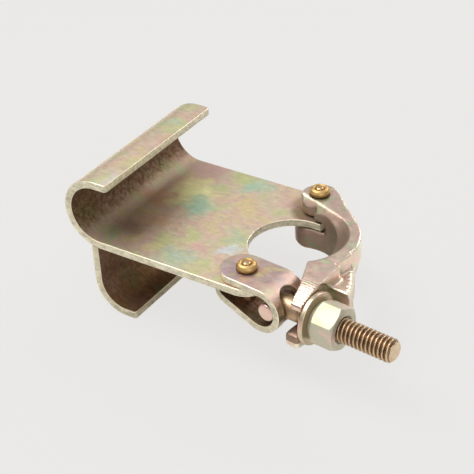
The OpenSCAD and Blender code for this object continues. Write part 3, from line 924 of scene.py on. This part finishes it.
def make_rivets():
    """The two hinge rivets, each with its washer and its formed head below."""
    slope = leaf_angle()
    leaf_under = BOLT_Z - FOLD_OUTER / math.cos(slope) + FOLD_X * math.tan(slope)
    # The link's rivet is headed against the strap's sloping lower leaf
    on_leaf = link_frame @ Matrix.Translation((0, 0, leaf_under)) @ Matrix.Rotation(
        slope, 4, "Y") @ Matrix.Translation((0, 0, -RIVET_HEAD_H))
    cap_under = box_mm("cap_rivet")[0].z
    below_cap = Matrix.Translation((cap_pin.x, cap_pin.y, cap_under))
    for label, pin, body, under, head_place in (
            ("link_rivet", link_pin, "link", leaf_under, on_leaf),
            ("cap_rivet", cap_pin, "cap", cap_under, below_cap)):
        ring_low, ring_high = box_mm(label + "_washer")
        radius = (ring_high.x - ring_low.x) / 2
        rivet_disc(label + "_disc", pin, ring_low.z, ring_high.z - ring_low.z, radius, body,
                   label + "_washer")
        rivet_shank(label + "_shank", pin, under + RIVET_HEAD_H / 2, ring_low.z,
                    box_mm(label)[1].z, radius, head_place, body, label)


# ---------------------------------------------------------------- forged cap
# Free edge of the web beside the bolt, in the link's frame: (across the bolt, along it)
WEB_EDGE = [(8, 56.9), (14, 56.4), (21, 53.7), (27, 50.9), (32, 47.4), (41, 42.4)]


def band(values, start, end):
    """0 at the start, 1 at the end and straight between them, for each of the values."""
    return np.clip((values - start) / (end - start), 0, 1)


def read(items, key, width, kind=float):
    """An attribute of a mesh's vertices or edges, one row for each."""
    values = np.empty(len(items) * width, kind)
    items.foreach_get(key, values)
    return values.reshape(-1, width)


def relax(points, edges, weights, rounds):
    """Moves each point towards the middle of its neighbours, by its own weight."""
    count = len(points)
    first, second = edges[:, 0], edges[:, 1]
    ties = np.bincount(first, minlength=count) + np.bincount(second, minlength=count)
    for _ in range(rounds):
        middle = np.stack([np.bincount(first, points[second, k], count)
                           + np.bincount(second, points[first, k], count)
                           for k in range(points.shape[1])], 1) / ties[:, None]
        points = points + (middle - points) * weights[:, None]
    return points


def voxel_skin(node, size):
    """A new mesh of even faces over a CAD node. The size of a face is in millimetres."""
    raw = bpy.data.objects.new("raw", frame["nodes"][node].data.copy())
    bpy.context.scene.collection.objects.link(raw)
    remesh = raw.modifiers.new("remesh", "REMESH")
    remesh.mode = "VOXEL"
    remesh.voxel_size = size * MM
    graph = bpy.context.evaluated_depsgraph_get()
    skin = bpy.data.meshes.new_from_object(raw.evaluated_get(graph))
    bpy.data.meshes.remove(raw.data)
    skin.materials.clear()
    return skin


def web_pips(local, normals):
    """How far two staggered rows of pips stand up along the web's free edge."""
    count, pitch, radius, rise = 15, 1.6, 0.85, 0.5
    across, along = np.array(WEB_EDGE).T
    height = np.zeros(len(local))
    for i in range(count):
        y = 18 + i * pitch
        x = np.interp(y, across, along) - 1.6 - 0.8 * (i % 2)
        away = np.hypot(local[:, 0] - x, local[:, 1] - y)
        height += np.clip(1 - (away / radius) ** 2, 0, 1) * rise
    return height * ((local[:, 2] > -1) & (normals[:, 2] > 0.1))


def make_cap():
    """The cap's forging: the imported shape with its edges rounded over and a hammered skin."""
    skin = voxel_skin("cap", 0.42)
    skin.name = "cap_skin"
    points = read(skin.vertices, "co", 3) / MM
    edges = read(skin.edges, "vertices", 2, int)
    even = np.full(len(points), 0.5)
    sharp = relax(points, edges, even, 2)
    soft = relax(sharp, edges, even, 8)

    # The ear, the lower prong and the web's corner are rounder than the rest
    to_link = np.array(link_frame.inverted())
    local = soft @ to_link[:3, :3].T + to_link[:3, 3]
    ear = (soft[:, 1] < cap_pin.y - 2) & (
        np.hypot(soft[:, 0] - cap_pin.x, soft[:, 1] - cap_pin.y) < 24)
    low_prong = (local[:, 1] < 2) & (local[:, 2] < -13)
    web_corner = (local[:, 1] > 15) & (local[:, 0] > 40) & (local[:, 2] > -1) & (
        local[:, 2] < 9)
    for zone, rounds in ((ear, 14), (low_prong | web_corner, 50)):
        weights = relax(np.where(zone, 0.5, 0.0)[:, None], edges, even, 6)[:, 0]
        soft = relax(soft, edges, weights, rounds)
    skin.vertices.foreach_set("co", (soft * MM).ravel())
    skin.update()
    normals = read(skin.vertices, "normal", 3)

    # Painted shade in the saddle, on faces that look down and behind the bolt; dark file lines across the upper
    # prong
    reach = np.hypot(soft[:, 0], soft[:, 1])
    inward = -(normals[:, :2] * soft[:, :2]).sum(1) / reach
    saddle = band(inward, 0.15, 0.65) * band(reach, 36, 32) * 0.62
    behind_bolt = (local[:, 1] < 2) & (local[:, 2] < -9) & (local[:, 2] > -19)
    hollow_shade = np.maximum(saddle, behind_bolt * 0.75)
    under = band(-normals[:, 2], 0.2, 0.7) * 0.5
    stripes = np.sin(local[:, 1] * 2 * np.pi / 1.5 + np.sin(local[:, 0] * 0.8) * 0.5)
    lines = band(stripes, 0.4, 0.7) * band(normals[:, 2], 0.3, 0.6) * (
        band(local[:, 1], 9, 6) * (local[:, 2] > 0) * 0.85)
    # Worn where smoothing took the most off an edge
    wear = band(((sharp - soft) * normals).sum(1), 0, 0.28) * 0.5
    wear *= (1 - np.clip(hollow_shade * 1.6, 0, 1)) * (1 - lines)

    hammered = np.array([noise.fractal(Vector(p) / 5.0, 1.0, 2.0, 3) * 0.07
                         + noise.noise(Vector(p) / 1.6) * 0.02 for p in soft])
    rise = hammered + web_pips(local, normals)
    skin.vertices.foreach_set("co", ((soft + normals * rise[:, None]) * MM).ravel())
    for key, values in (("rim", wear), ("gloom", np.maximum.reduce([hollow_shade, under, lines]))):
        layer = skin.attributes.new(key, "FLOAT", "POINT")
        layer.data.foreach_set("value", values.astype(np.float32))
    skin.update()
    finish_piece("cap_forging", skin, "cap", ["cap"], forging, sharp=60)


# ---------------------------------------------------------------- welds
def make_welds():
    """Fillet welds between the plate and the lower hook, with the ripples of a hand bead."""
    leg = 4.0
    ripple_pitch = 1.9
    half = PLATE_W / 2 - 7.0
    steps, around = 260, 12
    for name, side, wall in (("weld_outer", -1, lower_low.x),
                             ("weld_inner", 1, lower_low.x + LOWER_T)):
        verts, rows = [], []
        for i in range(steps + 1):
            run = 2 * half * i / steps
            y = run - half
            taper = math.sqrt(max(0.0, min(1.0, (half - abs(y)) / 3.0)))
            ripple = 1 + 0.18 * (0.5 - abs(run / ripple_pitch % 1.0 - 0.4))
            ripple += 0.05 * noise.noise(Vector((y / 4.0, side * 3.0, 0)))
            size = leg * (0.35 + 0.65 * taper) * min(1.0, ripple * 0.94)
            rows.append(list(range(len(verts), len(verts) + around + 2)))
            verts.append(Vector((wall, y, -PLATE_T / 2)))
            for k in range(around + 1):
                angle = math.pi / 2 * k / around
                radius = size * (0.86 + 0.14 * abs(math.cos(2 * angle)))
                verts.append(Vector((wall + side * radius * math.cos(angle), y,
                                     -PLATE_T / 2 - radius * math.sin(angle))))
        faces = stitch(rows) + [rows[0], rows[-1][::-1]]
        add_piece(name, verts, faces, "plate", ["weld_beads"], "weld", weld_metal)


# ---------------------------------------------------------------- stage, light and camera
def make_stage():
    """A floor that the camera sees almost plain, with a little of the object's shadow."""
    size = 3.0
    floor_z = cad_box[0][2]
    mesh = bpy.data.meshes.new("floor")
    mesh.from_pydata([(-size, -size, floor_z), (size, -size, floor_z), (size, size, floor_z),
                      (-size, size, floor_z)], [], [(0, 1, 2, 3)])
    floor = bpy.data.objects.new("floor", mesh)
    bpy.context.scene.collection.objects.link(floor)
    shade = Shader("floor_pale")
    shade.bsdf.inputs["Base Color"].default_value = linear(226, 225, 222)
    shade.bsdf.inputs["Roughness"].default_value = 0.9
    glow = shade.add("ShaderNodeEmission")
    glow.inputs["Color"].default_value = linear(230, 229, 227)
    rays = shade.add("ShaderNodeLightPath")
    blend = shade.add("ShaderNodeMixShader")
    shown = shade.math("MULTIPLY", rays.outputs["Is Camera Ray"], 0.93)
    shade.link(shown, blend.inputs["Fac"])
    shade.link(shade.bsdf.outputs["BSDF"], blend.inputs[1])
    shade.link(glow.outputs["Emission"], blend.inputs[2])
    shade.link(blend.outputs["Shader"], shade.surface)
    mesh.materials.append(shade.material)


def make_world():
    """Lights the object from a dim horizon up to a pale sky. The camera sees a plain grey."""
    world = bpy.data.worlds.new("studio")
    bpy.context.scene.world = world
    world.use_nodes = True
    nodes, link = world.node_tree.nodes, world.node_tree.links.new
    nodes.clear()
    height = nodes.new("ShaderNodeSeparateXYZ")
    link(nodes.new("ShaderNodeTexCoord").outputs["Generated"], height.inputs["Vector"])
    sky = nodes.new("ShaderNodeValToRGB")
    link(height.outputs["Z"], sky.inputs["Fac"])
    for stop, place, colour in zip(sky.color_ramp.elements, (0.0, 0.75),
                                   ((0.30, 0.29, 0.28, 1), (0.85, 0.86, 0.88, 1))):
        stop.position = place
        stop.color = colour
    lit = nodes.new("ShaderNodeBackground")
    link(sky.outputs["Color"], lit.inputs["Color"])
    lit.inputs["Strength"].default_value = 0.75
    seen = nodes.new("ShaderNodeBackground")
    seen.inputs["Color"].default_value = linear(235, 234, 232)
    blend = nodes.new("ShaderNodeMixShader")
    link(nodes.new("ShaderNodeLightPath").outputs["Is Camera Ray"], blend.inputs["Fac"])
    link(lit.outputs["Background"], blend.inputs[1])
    link(seen.outputs["Background"], blend.inputs[2])
    link(blend.outputs["Shader"], nodes.new("ShaderNodeOutputWorld").inputs["Surface"])


def make_lamp(name, place, size, power):
    """A rectangular lamp that points at the tube's centre. Its place is in metres."""
    lamp = bpy.data.lights.new(name, "AREA")
    lamp.shape = "RECTANGLE"
    lamp.size, lamp.size_y = size
    lamp.energy = power
    holder = bpy.data.objects.new(name, lamp)
    bpy.context.scene.collection.objects.link(holder)
    holder.location = place
    holder.rotation_euler = (-Vector(place)).to_track_quat("-Z", "Y").to_euler()


def make_camera():
    """The photo's camera, as solved from the plate's edges."""
    camera = bpy.data.cameras.new("camera")
    camera.sensor_width = 36.0
    camera.lens = 102.19
    camera.clip_start = 0.01
    holder = bpy.data.objects.new("camera", camera)
    bpy.context.scene.collection.objects.link(holder)
    up = Vector((-0.27031607, 0.48815539, 0.82983946))
    back = Vector((0.47729158, -0.68060895, 0.55584548))
    turn = Matrix((up.cross(back), up, back)).transposed().to_4x4()
    holder.matrix_world = Matrix.Translation(Vector((332.6, -526.5, 424.85)) * MM) @ turn
    bpy.context.scene.camera = holder


make_board_plate()
make_lower_hook()
make_welds()
make_link_strap()
make_bolt_shank()
make_bolt_head()
make_washer()
make_nut()
make_rivets()
make_cap()
make_stage()
make_world()
make_lamp("key", (-0.5, -0.2, 1.1), (0.9, 0.7), 16)
make_lamp("fill", (0.9, -0.7, 0.5), (0.6, 0.6), 4)
make_lamp("rim", (0.2, 1.0, 0.6), (0.8, 0.4), 6)
make_camera()
bpy.context.scene.view_settings.view_transform = "Standard"
